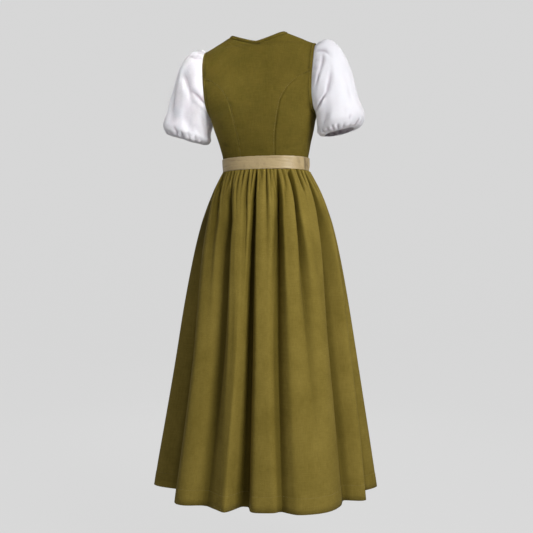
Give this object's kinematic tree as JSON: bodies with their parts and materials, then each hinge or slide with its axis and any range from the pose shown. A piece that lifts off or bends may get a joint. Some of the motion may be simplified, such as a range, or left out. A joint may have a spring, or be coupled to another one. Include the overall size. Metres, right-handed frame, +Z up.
{
  "type": "dirndl dress",
  "caption": "Dirndl dress in its worn shape: fitted panelled bodice, short gathered puff sleeves, satin sash, and a full skirt gathered at the waist.",
  "frame": {"origin": "on the upright axis of the dress, in the middle of the neck opening, level with the neck ends of the shoulder seams, where the wearer's neck and shoulders hold it", "axes": "+Z up along the wearer's height, front faces -Y, back faces +Y, the wearer's left is +X"},
  "size_m": [0.6442, 0.6029, 1.3119],
  "materials": {
    "olive_cotton": "matt plain-woven cotton with a faint slub",
    "champagne_satin": "soft satin sheen, lengthwise creases",
    "white_cotton": "matt fine cotton lawn, lightly creased"
  },
  "bodies": {
    "root": {"bodice_back_centre": "olive_cotton", "bodice_back_side_left": "olive_cotton", "bodice_back_side_right": "olive_cotton", "bodice_front_centre_left": "olive_cotton", "bodice_front_centre_right": "olive_cotton", "bodice_front_side_left": "olive_cotton", "bodice_front_side_right": "olive_cotton", "sash": "champagne_satin", "skirt_back": "olive_cotton", "skirt_front": "olive_cotton", "sleeve_left": "white_cotton", "sleeve_right": "white_cotton"}
  },
  "joints": []
}
